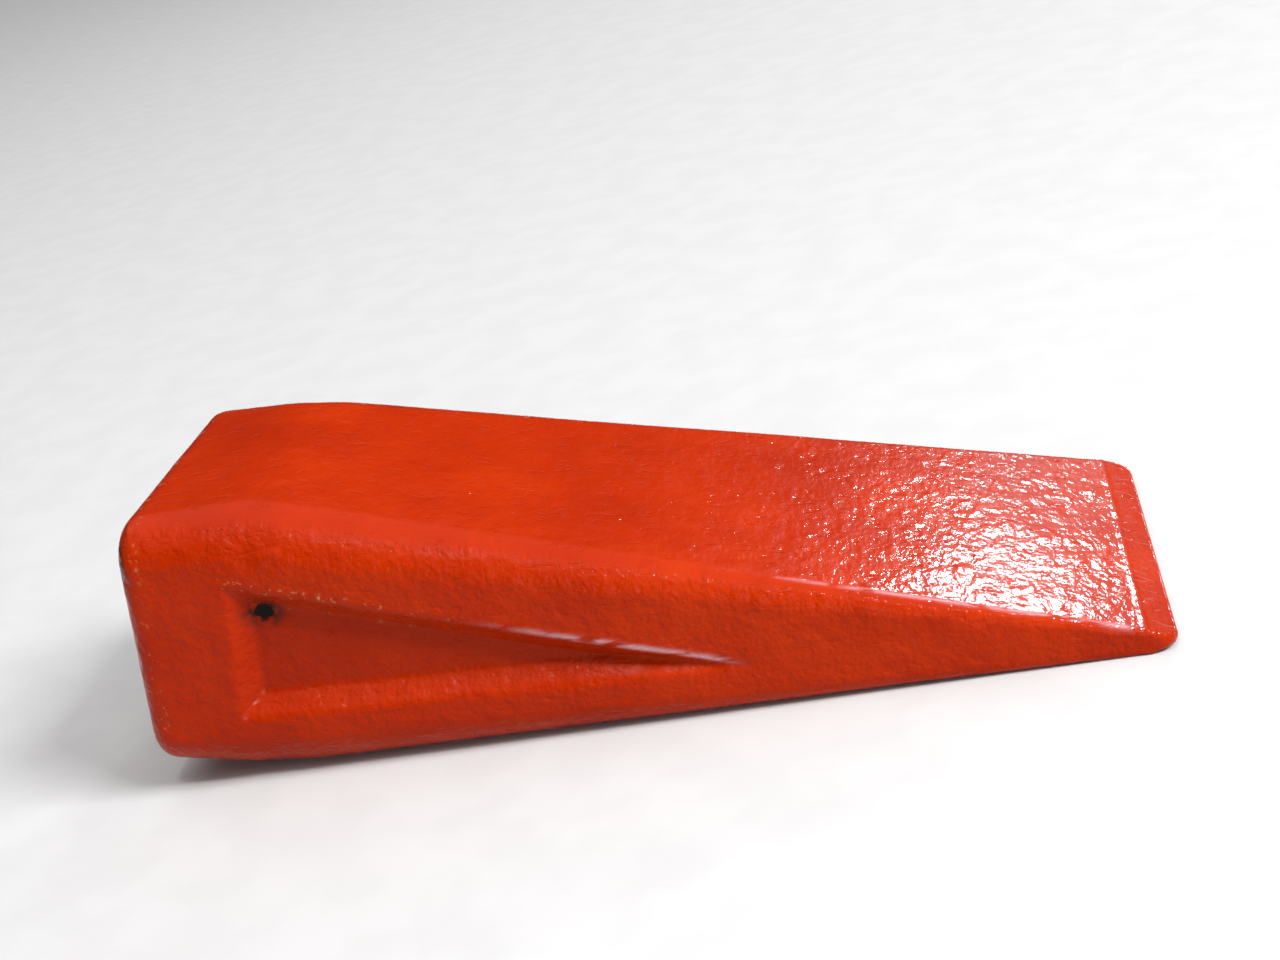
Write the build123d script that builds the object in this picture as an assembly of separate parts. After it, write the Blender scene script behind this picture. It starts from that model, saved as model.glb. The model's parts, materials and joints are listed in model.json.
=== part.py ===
from build123d import *
import os
from math import atan2, cos, degrees, sin, tan

# A drop-forged steel felling wedge under a thick coat of dipped lacquer.
# The wedge is drawn along its own centre line: X runs from the striking face (0) to the cutting
# edge, Y across the width, Z through the thickness. At the end it is turned so that its lower
# wedge face lies on Z = 0, with the origin under the middle of its box. All sizes in millimetres,
# measured over the lacquer.

LENGTH = 198.0
HEAD_WIDTH = 70.0
EDGE_WIDTH = 80.0
HEAD_THICKNESS = 52.0
SHOULDER_THICKNESS = 57.0
SHOULDER_X = 26.2
GROUND_THICKNESS = 5.0
GROUND_LENGTH = 6.0
EDGE_THICKNESS = 1.8

HEAD_LONG_RADIUS = 8.0
SHOULDER_LONG_RADIUS = 11.0
EDGE_LONG_RADIUS = 0.9
STRIKING_RADIUS = 4.5
EDGE_CORNER_RADIUS = 4.0

POCKET_REAR_X = 20.7
POCKET_APEX_X = 122.2
POCKET_HALF_HEIGHT = 14.6
POCKET_DEPTH = 3.8
POCKET_WALL_RUN = 4.0
POCKET_TILT = 2.2
POCKET_CORNER_RADIUS = 1.5
POCKET_LIP_RADIUS = 1.6
TRIM = 0.03
TOOL_OVERRUN = 1.0

LACQUER = 0.3
BARE_SPOT_RADIUS = 1.9
BARE_SPOT_INSET = 2.2

GROUND_X = LENGTH - GROUND_LENGTH
FLARE = atan2((EDGE_WIDTH - HEAD_WIDTH) / 2, LENGTH)
POCKET_SLOPE = atan2(POCKET_HALF_HEIGHT, POCKET_APEX_X - POCKET_REAR_X)
WEDGE_ANGLE = atan2((SHOULDER_THICKNESS - GROUND_THICKNESS) / 2, GROUND_X - SHOULDER_X)


def width_at(x):
    return HEAD_WIDTH + (EDGE_WIDTH - HEAD_WIDTH) * x / LENGTH


def cross_section(x, thickness, radius, inset):
    """A rounded cross-section at x, drawn inset from the lacquered surface."""
    plane = Plane(origin=(x, 0, 0), x_dir=(0, 1, 0), z_dir=(1, 0, 0))
    return plane * RectangleRounded(width_at(x) - 2 * inset, thickness - 2 * inset, radius - inset)


def tapered_body(inset):
    """The head, the shoulder and the two wedge faces, up to the ground strip."""
    head = cross_section(inset, HEAD_THICKNESS, HEAD_LONG_RADIUS, inset)
    shoulder = cross_section(SHOULDER_X, SHOULDER_THICKNESS + 2 * TRIM, SHOULDER_LONG_RADIUS, inset)
    blade_end = cross_section(GROUND_X, GROUND_THICKNESS + 2 * TRIM, EDGE_LONG_RADIUS, inset)
    poll = loft([head, shoulder], ruled=True)
    poll = fillet(poll.faces().sort_by(Axis.X)[0].edges(), STRIKING_RADIUS - inset)
    return poll + loft([shoulder, blade_end], ruled=True)


def ground_strip(inset):
    """The steeper strip ground along the cutting edge, with rounded corners in plan."""
    end = LENGTH - inset
    back, front = width_at(GROUND_X) / 2 - inset, width_at(LENGTH) / 2 - inset
    plan = make_face(Polyline((GROUND_X, -back), (end, -front), (end, front), (GROUND_X, back), close=True))
    plan = fillet(plan.vertices().group_by(Axis.X)[-1], EDGE_CORNER_RADIUS - inset)
    back, front = GROUND_THICKNESS / 2 - inset, EDGE_THICKNESS / 2 - inset
    profile = Polyline((GROUND_X, -back), (end, -front), (end, front), (GROUND_X, back), close=True)
    profile = make_face(Plane.XZ * profile)
    return extrude(plan, GROUND_THICKNESS, both=True) & extrude(profile, EDGE_WIDTH, both=True)


def wedge_face_trim(inset):
    """What is planed off above and below, by a hair, so that both wedge faces are truly flat."""
    slabs = []
    for up in (-1, 1):
        corner = (SHOULDER_X, 0, up * (SHOULDER_THICKNESS / 2 - inset))
        face = Plane(origin=corner, x_dir=(0, 1, 0), z_dir=(sin(WEDGE_ANGLE), 0, up * cos(WEDGE_ANGLE)))
        align = (Align.CENTER, Align.CENTER, Align.MIN)
        slabs.append(face * Box(2 * LENGTH, 3 * LENGTH, STRIKING_RADIUS, align=align))
    return slabs


def side_plane(side, depth):
    """A plane parallel to a side face, depth below it; side is -1 for the near one, 1 for the far."""
    outward = Vector(-sin(FLARE), side * cos(FLARE), 0)
    origin = Vector(0, side * HEAD_WIDTH / 2, 0) - outward * depth
    return Plane(origin=origin, x_dir=(cos(FLARE), side * sin(FLARE), 0), z_dir=outward)


def pocket_plane(side, depth):
    """The side plane turned about the pocket's rear end, so that its apex points a little down."""
    rear = Pos(POCKET_REAR_X, 0, 0)
    return side_plane(side, depth) * (rear * Rot(0, 0, side * POCKET_TILT) * rear.inverse())


def pocket_outline(side, depth, wall_inset):
    """The pocket's triangle at a depth, its walls moved in by wall_inset from the side face's."""
    rear = POCKET_REAR_X + wall_inset
    apex = POCKET_APEX_X - wall_inset / sin(POCKET_SLOPE)
    half = (apex - rear) * tan(POCKET_SLOPE)
    triangle = make_face(Polyline((rear, -half), (apex, 0), (rear, half), close=True))
    return pocket_plane(side, depth) * fillet(triangle.vertices(), POCKET_CORNER_RADIUS)


def pocket(side, inset):
    """The tool that sinks one triangular pocket with sloping walls into a side face."""
    mouth_inset = -TOOL_OVERRUN * POCKET_WALL_RUN / POCKET_DEPTH
    mouth = pocket_outline(side, inset - TOOL_OVERRUN, mouth_inset)
    draft = degrees(atan2(POCKET_WALL_RUN, POCKET_DEPTH))
    return extrude(mouth, -(POCKET_DEPTH + TOOL_OVERRUN), taper=draft)


def side_face(body, side):
    """The flat side face, the only flat face there with a hole in it."""
    pocketed = [face for face in body.faces() if len(face.inner_wires()) == 1]
    return ShapeList(pocketed).sort_by(Axis((0, 0, 0), (0, side, 0)))[-1]


def forging(inset):
    """The whole wedge, inset from the lacquered surface, with a pocket in each side."""
    body = tapered_body(inset) + ground_strip(inset)
    for slab in wedge_face_trim(inset):
        body -= slab
    for side in (-1, 1):
        body -= pocket(side, inset)
        lip = side_face(body, side).inner_wires()[0].edges()
        body = fillet(lip, POCKET_LIP_RADIUS - inset)
    return body


def bare_spot():
    """The hole that chipped lacquer leaves in the near pocket's rear upper floor corner."""
    rear = POCKET_REAR_X + POCKET_WALL_RUN
    half = (POCKET_APEX_X - POCKET_WALL_RUN / sin(POCKET_SLOPE) - rear) * tan(POCKET_SLOPE)
    centre = Pos(rear + BARE_SPOT_INSET, half - BARE_SPOT_INSET, 0)
    return pocket_plane(-1, POCKET_DEPTH) * (centre * Cylinder(BARE_SPOT_RADIUS, 2 * TOOL_OVERRUN))


def lay_down(shape, reference):
    """Turn a shape onto the lower wedge face and centre it as the reference is centred."""
    turn = Rotation(0, degrees(WEDGE_ANGLE), 0)
    box = (turn * reference).bounding_box()
    return Pos(-box.center().X, 0, -box.min.Z) * turn * shape


outer = forging(0)
steel = forging(LACQUER)
nodes = {
    "forged_body": lay_down(steel, outer),
    "lacquer_coat": lay_down(outer - steel - bare_spot(), outer),
}

os.makedirs("parts", exist_ok=True)
for name, shape in nodes.items():
    shape.label = name
    export_step(shape, f"parts/{name}.step")
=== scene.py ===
import json
from math import atan2, cos, radians, sin, tan

import bpy
import numpy as np
from mathutils import Matrix, Vector, noise


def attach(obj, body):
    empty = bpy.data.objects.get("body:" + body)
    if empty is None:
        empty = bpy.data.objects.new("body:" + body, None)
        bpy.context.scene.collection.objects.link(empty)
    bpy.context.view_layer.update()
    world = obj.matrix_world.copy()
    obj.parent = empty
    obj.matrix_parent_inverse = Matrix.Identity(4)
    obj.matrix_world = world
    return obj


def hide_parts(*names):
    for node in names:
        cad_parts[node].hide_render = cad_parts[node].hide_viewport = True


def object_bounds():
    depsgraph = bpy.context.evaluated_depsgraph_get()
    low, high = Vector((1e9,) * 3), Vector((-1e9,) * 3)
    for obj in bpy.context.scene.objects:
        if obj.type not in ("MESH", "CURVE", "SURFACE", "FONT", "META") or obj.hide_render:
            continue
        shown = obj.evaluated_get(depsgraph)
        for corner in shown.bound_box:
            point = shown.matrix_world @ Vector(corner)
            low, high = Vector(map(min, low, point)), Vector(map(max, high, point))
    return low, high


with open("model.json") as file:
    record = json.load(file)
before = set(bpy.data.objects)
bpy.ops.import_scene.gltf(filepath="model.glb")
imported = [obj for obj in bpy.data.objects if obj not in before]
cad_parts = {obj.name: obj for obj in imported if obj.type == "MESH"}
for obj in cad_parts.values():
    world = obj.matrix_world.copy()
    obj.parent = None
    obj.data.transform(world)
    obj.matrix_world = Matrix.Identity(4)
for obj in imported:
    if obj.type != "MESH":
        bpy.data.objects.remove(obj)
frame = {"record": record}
cad_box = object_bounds()

# A felling wedge: a forging under thick gloss lacquer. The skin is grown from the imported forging,
# so it lies where the CAD coat lies. Places on the wedge are given in its own axes: along from the
# striking face, across from the middle, and thick, up from the centre plane.

MM = 0.001
COAT = 0.3 * MM
VOXEL = 0.5 * MM
BARE_SINK = 1.2 * COAT
SOFTENING_PASSES = 4
SOFTENING_STEPS = 20
EDGE_SOFTENING = 0.10
RELIEF_LIMIT = 0.4

LOW, HIGH = (Vector(corner) for corner in cad_box)
CENTRE = (LOW + HIGH) / 2

MOUNTS = {mount["name"]: mount for mount in frame["record"]["mounts"]}
STRIKE = Vector(MOUNTS["striking_face"]["pos_m"])
ALONG = -Vector(MOUNTS["striking_face"]["axis"]).normalized()
ACROSS = Vector((0, 1, 0))
THICK = ALONG.cross(ACROSS)
WEDGE_AXES = np.array((ALONG, ACROSS, THICK))

LENGTH = 198 * MM
HEAD_HALF_WIDTH = 35 * MM
EDGE_HALF_WIDTH = 40 * MM
SHOULDER = 26.2 * MM
SHOULDER_HALF_THICKNESS = 28.5 * MM
SHOULDER_RADIUS = 70 * MM
SHOULDER_TANGENT = 9 * MM
GROUND_LENGTH = 6 * MM
GROUND_HALF_THICKNESS = 2.5 * MM
GROUND_START = LENGTH - GROUND_LENGTH

POCKET_REAR = 20.7 * MM
POCKET_APEX = 122.2 * MM
POCKET_HALF_HEIGHT = 14.6 * MM
POCKET_WALL_RUN = 4 * MM
POCKET_TILT = radians(2.2)
POCKET_SLOPE = atan2(POCKET_HALF_HEIGHT, POCKET_APEX - POCKET_REAR)
BARE_SPOT_INSET = 2.2 * MM


# ---------------------------------------------------------------- mesh helpers

def new_object(name, mesh):
    piece = bpy.data.objects.new(name, mesh)
    bpy.context.scene.collection.objects.link(piece)
    return piece


def applied(piece):
    """The piece's mesh with its modifiers applied, as a new mesh."""
    graph = bpy.context.evaluated_depsgraph_get()
    graph.update()
    return bpy.data.meshes.new_from_object(piece.evaluated_get(graph))


def coordinates(mesh):
    flat = np.empty(len(mesh.vertices) * 3)
    mesh.vertices.foreach_get("co", flat)
    return flat.reshape(-1, 3)


def normals(mesh):
    flat = np.empty(len(mesh.vertices) * 3)
    mesh.vertex_normals.foreach_get("vector", flat)
    return flat.reshape(-1, 3)


def moved(mesh, points):
    """A copy of the mesh with its points moved."""
    copy = mesh.copy()
    copy.vertices.foreach_set("co", points.ravel())
    copy.update()
    return copy


def smoothstep(values, start, end):
    t = np.clip((values - start) / (end - start), 0, 1)
    return t * t * (3 - 2 * t)


# ---------------------------------------------------------------- the forging's softened shape

def softened_forging():
    """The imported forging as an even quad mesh, with its edges rolled over as hot steel leaves them."""
    source = bpy.data.objects["forged_body"]
    blank = new_object("blank", source.data.copy())
    blank.matrix_world = source.matrix_world.copy()
    remesh = blank.modifiers.new("remesh", "REMESH")
    remesh.mode = "VOXEL"
    remesh.voxel_size = VOXEL
    even = applied(blank)
    bpy.data.objects.remove(blank)

    blank = new_object("blank", even)
    softness = blank.vertex_groups.new(name="softness")
    points = coordinates(even)
    along = in_wedge_axes(points)[:, 0]
    edge_side = smoothstep(along, GROUND_START - 6 * MM, GROUND_START - 1 * MM)
    weights = 1 - (1 - EDGE_SOFTENING) * edge_side
    steps = np.round(weights * SOFTENING_STEPS) / SOFTENING_STEPS
    for level in np.unique(steps):
        softness.add(np.flatnonzero(steps == level).tolist(), float(level), "REPLACE")
    smooth = blank.modifiers.new("soften", "SMOOTH")
    smooth.factor = 0.5
    smooth.iterations = SOFTENING_PASSES
    smooth.vertex_group = "softness"
    soft = applied(blank)
    bpy.data.objects.remove(blank)
    return soft


# ---------------------------------------------------------------- places on the wedge

def in_wedge_axes(points):
    """(along, across, thick) of each point, in metres."""
    return (points - np.array(STRIKE)) @ WEDGE_AXES.T


def half_width(along):
    return HEAD_HALF_WIDTH + (EDGE_HALF_WIDTH - HEAD_HALF_WIDTH) * along / LENGTH


def half_thickness(along):
    """Half the thickness at the wedge faces."""
    share = (along - SHOULDER) / (GROUND_START - SHOULDER)
    return SHOULDER_HALF_THICKNESS + (GROUND_HALF_THICKNESS - SHOULDER_HALF_THICKNESS) * share


def in_pocket_axes(places):
    """(along, up) of each place in the turned axes of the pocket's triangle."""
    along, up = places[:, 0] - POCKET_REAR, places[:, 2]
    return (
        POCKET_REAR + along * cos(POCKET_TILT) - up * sin(POCKET_TILT),
        along * sin(POCKET_TILT) + up * cos(POCKET_TILT),
    )


def pocket_distances(places):
    """How far each place lies outside the pocket's rear, upper and lower walls; negative inside."""
    along, up = in_pocket_axes(places)
    rear = POCKET_REAR - along
    upper = (up - (POCKET_APEX - along) * tan(POCKET_SLOPE)) * cos(POCKET_SLOPE)
    lower = (-up - (POCKET_APEX - along) * tan(POCKET_SLOPE)) * cos(POCKET_SLOPE)
    return rear, upper, lower


def bare_spot_distance(places):
    """Distance on the near side from the pocket's rear upper floor corner, in metres."""
    along, up = in_pocket_axes(places)
    rear = POCKET_REAR + POCKET_WALL_RUN
    top = (POCKET_APEX - POCKET_WALL_RUN / sin(POCKET_SLOPE) - rear) * tan(POCKET_SLOPE)
    away = np.hypot((along - rear - BARE_SPOT_INSET) * 0.8, up - top + BARE_SPOT_INSET)
    return np.where(places[:, 1] < 0, away, 1)


# ---------------------------------------------------------------- surface relief

def noise_at(places, scale, octaves, seed):
    """Fractal noise in -1 to 1 at each place; scale is the size of a lump, one number per axis."""
    stretched = places / np.array(scale) + np.array((seed, -2 * seed, 3 * seed))
    return np.array([noise.fractal(place, 1.0, 2.0, octaves) for place in stretched.tolist()])


def relief(places):
    """Millimetres that the skin stands proud of its nominal surface."""
    broad = noise_at(places, (60 * MM, 40 * MM, 40 * MM), 2, 3.1)
    hammered = noise_at(places, (16 * MM, 9 * MM, 9 * MM), 2, 7.7)
    wrinkle = noise_at(places, (2.6 * MM, 3.0 * MM, 1.8 * MM), 2, 5.3)
    peel = noise_at(places, (1.3 * MM, 2.0 * MM, 1.3 * MM), 1, 9.1)
    towards_edge = smoothstep(places[:, 0], 0.25 * LENGTH, 0.80 * LENGTH)
    height = 0.13 * broad + 0.055 * hammered
    height += (0.030 + 0.005 * towards_edge) * np.minimum(wrinkle, 0.15)
    return height + 0.020 * peel


def lump(places, spot, reach, tall):
    """A smooth lump, or a dent where tall is negative, around a spot; reach has one size per axis."""
    away = ((places - np.array(spot)) / np.array(reach)) ** 2
    return tall * np.exp(-away.sum(axis=1))


def edge_knocks(places):
    """Lumps and knocks along the near upper edge, in millimetres."""
    rng = np.random.default_rng(11)
    height = np.zeros(len(places))
    for share in np.linspace(0.30, 0.80, 17):
        along = (share + rng.uniform(-0.02, 0.02)) * LENGTH
        inward = rng.uniform(0.5, 5.0) * MM * (1.2 - share)
        spot = (along, -half_width(along) + inward, half_thickness(along) - rng.uniform(0.3, 3.0) * MM)
        reach = (rng.uniform(0.5, 1.6) * MM, rng.uniform(1.5, 3.0) * MM, rng.uniform(1.2, 2.6) * MM)
        height += lump(places, spot, reach, rng.uniform(-0.22, 0.24))
    return height


def head_marks(places):
    """A crescent lap below the near upper edge and shallow knocks on the near side, in millimetres."""
    height = np.zeros(len(places))
    for step in np.linspace(-1, 1, 7):
        along = (31 + 1.6 * step) * MM
        spot = (along, -half_width(along) + 2.5 * MM, (20.5 + 1.1 * step - 0.5 * step ** 2) * MM)
        height += lump(places, spot, (0.8 * MM, 3 * MM, 0.7 * MM), 0.20)
    rng = np.random.default_rng(5)
    for _ in range(46):
        along = rng.uniform(0.03, 0.95) * LENGTH
        spot = (along, -half_width(along), rng.uniform(-0.95, 0.95) * half_thickness(along))
        reach = np.array((rng.uniform(0.8, 3.0), 3.0, rng.uniform(0.5, 1.5))) * MM
        height += lump(places, spot, reach, rng.uniform(-0.10, 0.07))
    return height


def upper_face_marks(places):
    """Blisters and pits on the upper wedge face, thickest towards the cutting edge, in millimetres."""
    rng = np.random.default_rng(23)
    height = np.zeros(len(places))
    for _ in range(90):
        share = rng.beta(4.0, 2.0)
        along = share * LENGTH
        spot = (along, rng.uniform(-0.9, 0.9) * half_width(along), half_thickness(along))
        reach = np.array((rng.uniform(0.5, 1.3), rng.uniform(0.4, 0.9), 3.0)) * MM
        height += lump(places, spot, reach, rng.choice((-0.07, 0.05, 0.09)))
    return height


def pocket_tail(places):
    """Millimetres taken off by the V-shaped valley that keeps the pocket crisp up to its apex."""
    along, up = in_pocket_axes(places)
    reach = smoothstep(along, 84 * MM, 104 * MM) * (1 - smoothstep(along, 112 * MM, 124 * MM))
    valley = np.exp(-np.abs(up) / (0.9 * MM))
    return np.where(places[:, 1] < 0, reach * valley, 0)


def shoulder_rounding(places):
    """Millimetres that a large radius takes off the ridge between the head's chamfer and wedge face."""
    within = np.maximum(0, SHOULDER_TANGENT - np.abs(places[:, 0] - SHOULDER))
    on_face = smoothstep(np.abs(places[:, 2]), 0.5 * SHOULDER_HALF_THICKNESS, 0.8 * SHOULDER_HALF_THICKNESS)
    return on_face * within ** 2 / (2 * SHOULDER_RADIUS) / MM


def bareness(places):
    """1 where the lacquer is missing, 0 where it is whole, with a ragged border."""
    away = bare_spot_distance(places)
    ragged = np.zeros(len(places))
    close = np.flatnonzero(away < 6 * MM)
    ragged[close] = 0.8 * MM * noise_at(places[close], (1.6 * MM,) * 3, 2, 1.3)
    return 1 - smoothstep(away + 0.6 * ragged, 1.2 * MM, 1.8 * MM)


# ---------------------------------------------------------------- materials

class Graph:
    """A short way to write a material's node graph."""

    def __init__(self, name):
        self.material = bpy.data.materials.new(name)
        self.material.use_nodes = True
        self.tree = self.material.node_tree
        self.shader = self.tree.nodes["Principled BSDF"]
        self.place = self.node("ShaderNodeTexCoord").outputs["Object"]

    def node(self, kind, **settings):
        made = self.tree.nodes.new(kind)
        for key, value in settings.items():
            setattr(made, key, value)
        return made

    def link(self, source, target):
        self.tree.links.new(source, target)

    def stretched(self, scale):
        mapping = self.node("ShaderNodeMapping")
        mapping.inputs["Scale"].default_value = scale
        self.link(self.place, mapping.inputs["Vector"])
        return mapping.outputs["Vector"]

    def noise(self, scale, detail=3.0, roughness=0.5, distortion=0.0, stretch=None):
        made = self.node("ShaderNodeTexNoise")
        made.inputs["Scale"].default_value = scale
        made.inputs["Detail"].default_value = detail
        made.inputs["Roughness"].default_value = roughness
        made.inputs["Distortion"].default_value = distortion
        self.link(self.stretched(stretch) if stretch else self.place, made.inputs["Vector"])
        return made.outputs["Fac"]

    def ramp(self, value, *stops):
        made = self.node("ShaderNodeValToRGB")
        elements = made.color_ramp.elements
        while len(elements) < len(stops):
            elements.new(0.5)
        for element, (position, colour) in zip(elements, stops):
            element.position = position
            element.color = (*colour, 1)
        self.link(value, made.inputs["Fac"])
        return made.outputs["Color"]

    def level(self, value, start, end, low=0.0, high=1.0):
        made = self.node("ShaderNodeMapRange", interpolation_type="SMOOTHSTEP")
        for key, number in (("From Min", start), ("From Max", end), ("To Min", low), ("To Max", high)):
            made.inputs[key].default_value = number
        self.link(value, made.inputs["Value"])
        return made.outputs["Result"]

    def math(self, operation, first, second=0.0):
        made = self.node("ShaderNodeMath", operation=operation)
        for socket, value in zip(made.inputs, (first, second)):
            if isinstance(value, (int, float)):
                socket.default_value = value
            else:
                self.link(value, socket)
        return made.outputs["Value"]

    def mix(self, factor, first, second):
        made = self.node("ShaderNodeMix", data_type="RGBA")
        colours = [socket for socket in made.inputs if socket.type == "RGBA"]
        sockets = (made.inputs["Factor"], *colours)
        for socket, value in zip(sockets, (factor, first, second)):
            if isinstance(value, (int, float)):
                socket.default_value = value
            elif isinstance(value, tuple):
                socket.default_value = (*value, 1)
            else:
                self.link(value, socket)
        return next(socket for socket in made.outputs if socket.type == "RGBA")

    def bump(self, height, distance, strength=1.0, below=None):
        made = self.node("ShaderNodeBump")
        made.inputs["Distance"].default_value = distance
        made.inputs["Strength"].default_value = strength
        self.link(height, made.inputs["Height"])
        if below:
            self.link(below, made.inputs["Normal"])
        return made.outputs["Normal"]

    def attribute(self, name):
        return self.node("ShaderNodeAttribute", attribute_name=name).outputs["Fac"]


def lacquer_material():
    """Thick orange-red lacquer: clear gloss over orange peel, paler where it is thin or scuffed, with
    painted shade in the pocket floors and painted highlights on the pocket lip, its rear corner and the
    near upper edge.
    """
    g = Graph("lacquer")
    cloud = g.noise(35, detail=4, roughness=0.6)
    fine = g.noise(420, detail=3, stretch=(0.5, 1, 1))
    paint = g.ramp(cloud, (0.30, (0.31, 0.0140, 0.0002)), (0.52, (0.36, 0.0185, 0.0003)),
                   (0.72, (0.41, 0.0240, 0.0004)))
    paint = g.mix(g.level(fine, 0.55, 0.75, 0, 0.35), paint, (0.29, 0.010, 0.0002))

    # Painted shade: the pocket floors are darkened to stand in for the shade in the recess.
    pocket_shade = g.math("MULTIPLY", g.attribute("shade"), 0.35)
    paint = g.mix(pocket_shade, paint, (0.24, 0.011, 0.0003))

    # Painted highlights: pale pinkish paint, broken up by noise, stands in for reflections on the pocket
    # lip, its rear lower corner and the near upper edge.
    highlight_breaks = g.level(g.noise(400, detail=3, stretch=(0.3, 1, 1)), 0.38, 0.55)
    painted_highlights = g.math("MULTIPLY", highlight_breaks, g.attribute("painted_highlight"))
    paint = g.mix(painted_highlights, paint, (0.56, 0.30, 0.32))

    specks = g.level(g.noise(900, detail=2), 0.60, 0.68)
    scuffed = g.math("MULTIPLY", specks, g.attribute("scuff"))
    paint = g.mix(scuffed, paint, (0.36, 0.20, 0.09))
    soot = g.math("MULTIPLY", g.attribute("soot"), g.level(g.noise(600, detail=4), 0.35, 0.60))
    paint = g.mix(soot, paint, (0.035, 0.014, 0.007))
    g.link(paint, g.shader.inputs["Base Color"])

    rough = g.level(g.noise(260, detail=4, roughness=0.65), 0.35, 0.70, 0.26, 0.40)
    rough = g.math("ADD", rough, g.math("MULTIPLY", g.attribute("scuff"), 0.12))
    g.link(rough, g.shader.inputs["Roughness"])
    g.shader.inputs["IOR"].default_value = 1.5
    g.shader.inputs["Specular IOR Level"].default_value = 0.02
    g.shader.inputs["Coat Weight"].default_value = 1.0
    g.shader.inputs["Coat Roughness"].default_value = 0.05
    g.shader.inputs["Coat IOR"].default_value = 1.15

    calm = g.level(g.attribute("calm"), 0, 1, 1, 0.28)
    peel = g.math("MULTIPLY", g.noise(1000, detail=2, roughness=0.5, stretch=(1, 0.55, 1)), calm)
    pits = g.level(g.noise(620, detail=1, distortion=0.5, stretch=(0.35, 1, 1)), 0.60, 0.72, 1, 0)
    normal = g.bump(peel, 0.28 * MM, 1.0)
    normal = g.bump(pits, 0.08 * MM, 1.0, below=normal)
    lumps = g.math("MULTIPLY", g.noise(330, detail=1, stretch=(1, 0.5, 1)), calm)
    normal = g.bump(lumps, 0.42 * MM, 1.0, below=normal)
    grinding = g.noise(1, detail=2, stretch=(300, 2400, 300))
    grinding = g.math("MULTIPLY", grinding, g.attribute("ground"))
    normal = g.bump(grinding, 0.07 * MM, 0.8, below=normal)
    g.link(normal, g.shader.inputs["Normal"])
    g.link(normal, g.shader.inputs["Coat Normal"])
    return g.material


def scale_material():
    """Black forging scale: matt, blistered, browner where it has begun to rust."""
    g = Graph("forging_scale")
    blister = g.noise(700, detail=6, roughness=0.65)
    rust = g.noise(240, detail=4)
    scale = g.ramp(blister, (0.30, (0.0015, 0.0013, 0.0012)), (0.70, (0.008, 0.006, 0.005)))
    scale = g.mix(g.level(rust, 0.52, 0.72, 0, 0.7), scale, (0.030, 0.012, 0.005))
    g.link(scale, g.shader.inputs["Base Color"])
    g.link(g.level(blister, 0.3, 0.7, 0.55, 0.85), g.shader.inputs["Roughness"])
    g.shader.inputs["Specular IOR Level"].default_value = 0.15
    g.link(g.bump(blister, 0.15 * MM, 0.9), g.shader.inputs["Normal"])
    return g.material


def floor_material():
    """A matt pale grey, lit bright enough to look almost white."""
    g = Graph("studio_floor")
    grain = g.noise(60, detail=2)
    grey = g.ramp(grain, (0.4, (0.54, 0.54, 0.54)), (0.6, (0.56, 0.56, 0.56)))
    g.link(grey, g.shader.inputs["Base Color"])
    g.shader.inputs["Roughness"].default_value = 0.9
    g.shader.inputs["Specular IOR Level"].default_value = 0.1
    return g.material


# ---------------------------------------------------------------- the two pieces

def point_attribute(mesh, name, values):
    layer = mesh.attributes.new(name, "FLOAT", "POINT")
    layer.data.foreach_set("value", values.astype(np.float32))


def finish_piece(name, mesh, material, node):
    mesh.materials.clear()
    mesh.materials.append(material)
    mesh.shade_smooth()
    piece = new_object(name, mesh)
    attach(piece, "root")
    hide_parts(node)


def scuff_weights(places):
    """Where the lacquer is thin: the pocket's upper lip and floor edge, and the head's near edges."""
    rear, upper, _ = pocket_distances(places)
    along = places[:, 0]
    fading = 1 - smoothstep(along, 0.20 * LENGTH, 0.38 * LENGTH)
    mouth = np.exp(-((upper - 0.6 * MM) / (0.8 * MM)) ** 2) * (rear < 1 * MM)
    floor = np.exp(-((upper + POCKET_WALL_RUN) / (0.35 * MM)) ** 2) * (rear < -3 * MM)
    heel = np.exp(-((along - 4.4 * MM) / (0.9 * MM)) ** 2)
    sole = np.exp(-((places[:, 2] + 24.5 * MM) / (1.5 * MM)) ** 2) * (along < 22 * MM)
    near = places[:, 1] < -0.75 * half_width(along)
    worn = (mouth + 0.7 * floor) * fading + 0.30 * heel + 0.7 * sole
    return np.clip(near * worn, 0, 1)


def painted_highlight_weights(places):
    """Painted highlights: pale pinkish marks standing in for reflections on the pocket's upper lip, its
    rear lower corner, and the near upper edge.
    """
    rear, upper, lower = pocket_distances(places)
    along = places[:, 0]
    lip_highlight = np.exp(-((upper - 0.3 * MM) / (0.55 * MM)) ** 2)
    lip_highlight *= smoothstep(along, 66 * MM, 92 * MM) * (1 - smoothstep(along, 114 * MM, 121 * MM))
    corner = np.exp(-((rear - lower) / (0.45 * MM)) ** 2)
    corner *= smoothstep(rear, -4.4 * MM, -3.2 * MM) * (1 - smoothstep(rear, -1.6 * MM, -0.4 * MM))
    share = (along - SHOULDER) / (GROUND_START - SHOULDER)
    inset = (1 - share) * 8 * MM + 0.9 * MM
    ridge = np.exp(-((places[:, 1] + half_width(along) - inset) / (0.4 * MM)) ** 2)
    ridge *= smoothstep(along, 112 * MM, 150 * MM) * (1 - smoothstep(along, 188 * MM, 192 * MM))
    ridge *= places[:, 2] > 0.6 * half_thickness(along)
    near = places[:, 1] < -0.75 * half_width(along)
    return np.clip(near * (lip_highlight + corner + 0.8 * ridge), 0, 1)


def shade_weights(places):
    """The pocket floors, where the paint is darkened as painted shade in the recess."""
    outermost = np.maximum.reduce(pocket_distances(places))
    return 1 - smoothstep(outermost, -POCKET_WALL_RUN, -POCKET_WALL_RUN + 0.6 * MM)


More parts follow.
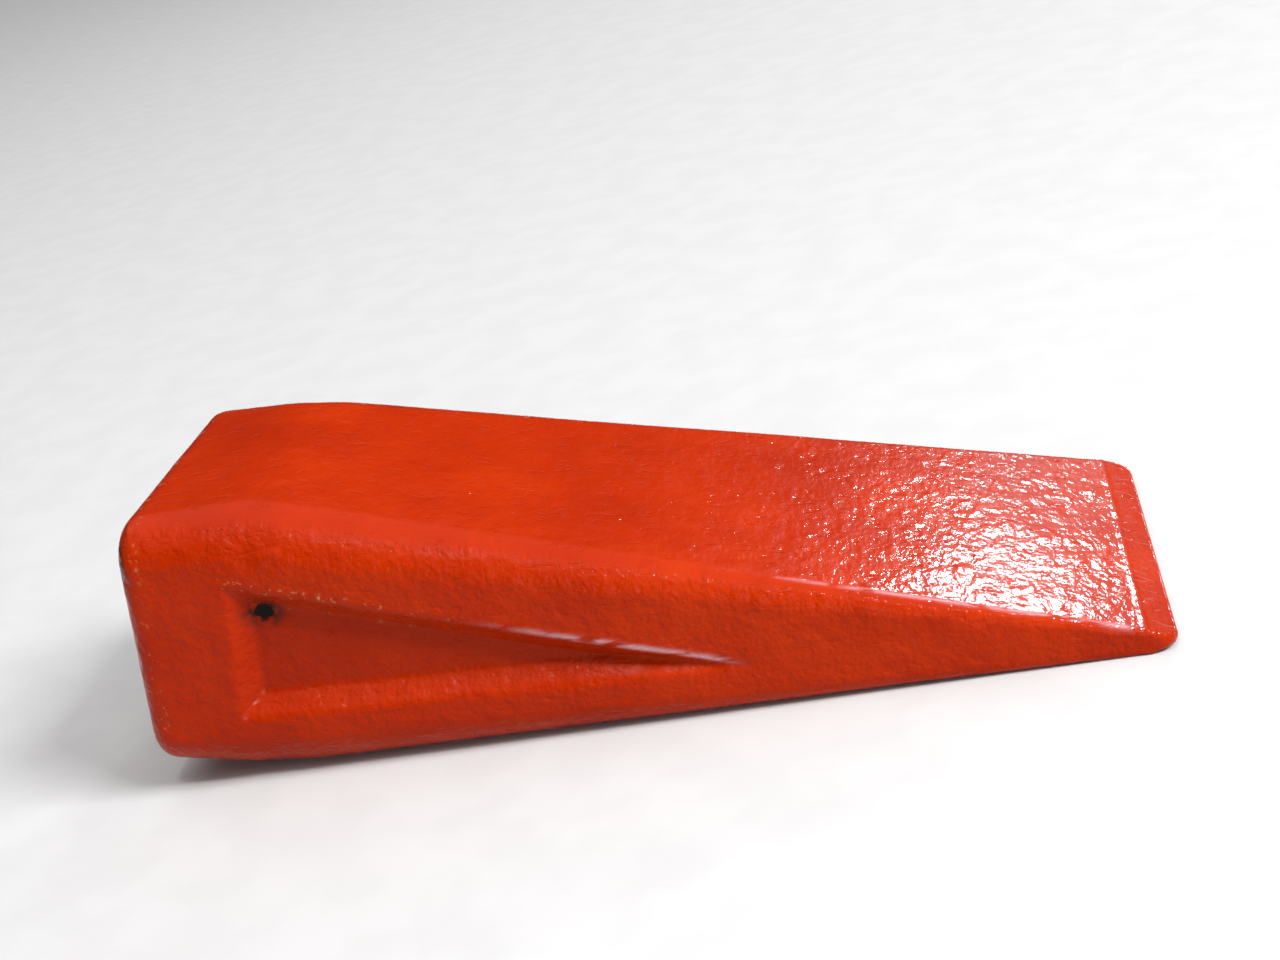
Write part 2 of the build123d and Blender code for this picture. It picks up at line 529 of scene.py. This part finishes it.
def soot_weights(places):
    """Where scale shows through: around the bare spot, and along the upper edge of the striking end."""
    around = 1 - smoothstep(bare_spot_distance(places), 1.4 * MM, 4.6 * MM)
    chipped = 1 - smoothstep(places[:, 0], 1.0 * MM, 3.5 * MM)
    return np.maximum(around, 0.9 * chipped * smoothstep(places[:, 2], 10 * MM, 18 * MM))


def ground_ridge(places):
    """The burr along the upper border of the ground strip, in millimetres."""
    height = 0.15 * np.exp(-((places[:, 0] - GROUND_START + 0.2 * MM) / (0.45 * MM)) ** 2)
    return height * (places[:, 2] > 0)


def make_wedge():
    """The steel and the lacquer over it, one coat further out except where it is sunk at the bare spot."""
    soft = softened_forging()
    base = coordinates(soft)
    facing = normals(soft)
    places = in_wedge_axes(base)
    bare = bareness(places)
    ground = smoothstep(places[:, 0], GROUND_START - 0.3 * MM, GROUND_START + 0.5 * MM)

    stand = relief(places) + edge_knocks(places) + head_marks(places) + upper_face_marks(places)
    stand = np.clip(stand * (1 - 0.9 * ground), -RELIEF_LIMIT, RELIEF_LIMIT)
    stand += ground_ridge(places) - pocket_tail(places) - shoulder_rounding(places)
    steel_points = base + facing * (stand * MM)[:, None]
    skin_points = steel_points + facing * (COAT - (COAT + BARE_SINK) * bare)[:, None]

    skin = moved(soft, skin_points)
    point_attribute(skin, "scuff", scuff_weights(places))
    point_attribute(skin, "soot", soot_weights(places))
    point_attribute(skin, "ground", ground)
    point_attribute(skin, "shade", shade_weights(places))
    point_attribute(skin, "calm", smoothstep(np.abs(facing @ np.array(THICK)), 0.75, 0.98))
    point_attribute(skin, "painted_highlight", painted_highlight_weights(places))
    finish_piece("lacquer_skin", skin, lacquer_material(), "lacquer_coat")

    steel = moved(soft, steel_points)
    finish_piece("steel_forging", steel, scale_material(), "forged_body")


# ---------------------------------------------------------------- studio

CAMERA_AZIMUTH = 11.83
CAMERA_ELEVATION = 21.33
CAMERA_ROLL = 14.79
CAMERA_DISTANCE = 0.4058
CAMERA_LENS = 56.7
LOOK_AT = CENTRE + Vector((2.6 * MM, 2.7 * MM, 5.4 * MM))

SKY_HORIZON = 0.45
SKY_LOW = 0.03
SKY_HIGH = 1.4
FLOOR_HALF_SIZE = 6.0


def direction(azimuth, elevation):
    """A unit vector; azimuth 0 is along -Y, towards the viewer, and grows towards +X."""
    a, e = radians(azimuth), radians(elevation)
    return Vector((sin(a) * cos(e), -cos(a) * cos(e), sin(e)))


def facing_matrix(place, target, roll=0.0):
    turn = (target - place).to_track_quat("-Z", "Y").to_matrix().to_4x4()
    return Matrix.Translation(place) @ turn @ Matrix.Rotation(radians(roll), 4, "Z")


def make_camera():
    data = bpy.data.cameras.new("camera")
    data.lens = CAMERA_LENS
    data.sensor_width = 36
    camera = bpy.data.objects.new("camera", data)
    bpy.context.scene.collection.objects.link(camera)
    place = LOOK_AT + direction(CAMERA_AZIMUTH, CAMERA_ELEVATION) * CAMERA_DISTANCE
    camera.matrix_world = facing_matrix(place, LOOK_AT, -CAMERA_ROLL)
    data.clip_start = 0.01
    bpy.context.scene.camera = camera


def panel(name, azimuth, elevation, distance, width, height, watts, tint=(1, 1, 1)):
    """A soft rectangular light that faces the wedge."""
    data = bpy.data.lights.new(name, "AREA")
    data.shape = "RECTANGLE"
    data.size = width
    data.size_y = height
    data.energy = watts
    data.color = tint
    light = bpy.data.objects.new(name, data)
    bpy.context.scene.collection.objects.link(light)
    light.matrix_world = facing_matrix(CENTRE + direction(azimuth, elevation) * distance, CENTRE)


def make_sky():
    """A pale room, brightest overhead and dark up to some way above eye level."""
    world = bpy.data.worlds.new("studio")
    world.use_nodes = True
    tree = world.node_tree
    direction_node = tree.nodes.new("ShaderNodeTexCoord")
    split = tree.nodes.new("ShaderNodeSeparateXYZ")
    height = tree.nodes.new("ShaderNodeMapRange")
    tree.links.new(direction_node.outputs["Generated"], split.inputs["Vector"])
    tree.links.new(split.outputs["Z"], height.inputs["Value"])
    height.inputs["From Min"].default_value = SKY_HORIZON
    height.inputs["From Max"].default_value = 1.0
    height.inputs["To Min"].default_value = SKY_LOW
    height.inputs["To Max"].default_value = SKY_HIGH
    background = tree.nodes["Background"]
    background.inputs["Color"].default_value = (1, 1, 1, 1)
    tree.links.new(height.outputs["Result"], background.inputs["Strength"])
    bpy.context.scene.world = world


def make_studio():
    half = FLOOR_HALF_SIZE
    mesh = bpy.data.meshes.new("studio_floor")
    corners = [(-half, -half, 0), (half, -half, 0), (half, half, 0), (-half, half, 0)]
    mesh.from_pydata(corners, [], [(0, 1, 2, 3)])
    mesh.materials.append(floor_material())
    floor = new_object("studio_floor", mesh)
    floor.location.z = LOW.z

    make_sky()
    panel("overhead", 40, 68, 2.0, 1.6, 1.6, 4)
    panel("key", 70, 40, 2.0, 0.7, 0.7, 46)
    panel("fill", 15, 12, 2.0, 1.2, 0.8, 9)
    panel("lamp_right", 54, 46, 1.8, 0.10, 0.10, 5)
    panel("lamp_above", 3, 66, 1.8, 0.12, 0.12, 4)
    panel("window", 158, 22, 1.8, 0.55, 0.7, 0.8)
    panel("window_core", 161.5, 23.8, 1.75, 0.16, 0.12, 5.0, (1.0, 0.96, 1.0))
    bpy.context.scene.view_settings.view_transform = "Standard"


make_camera()
make_studio()
make_wedge()
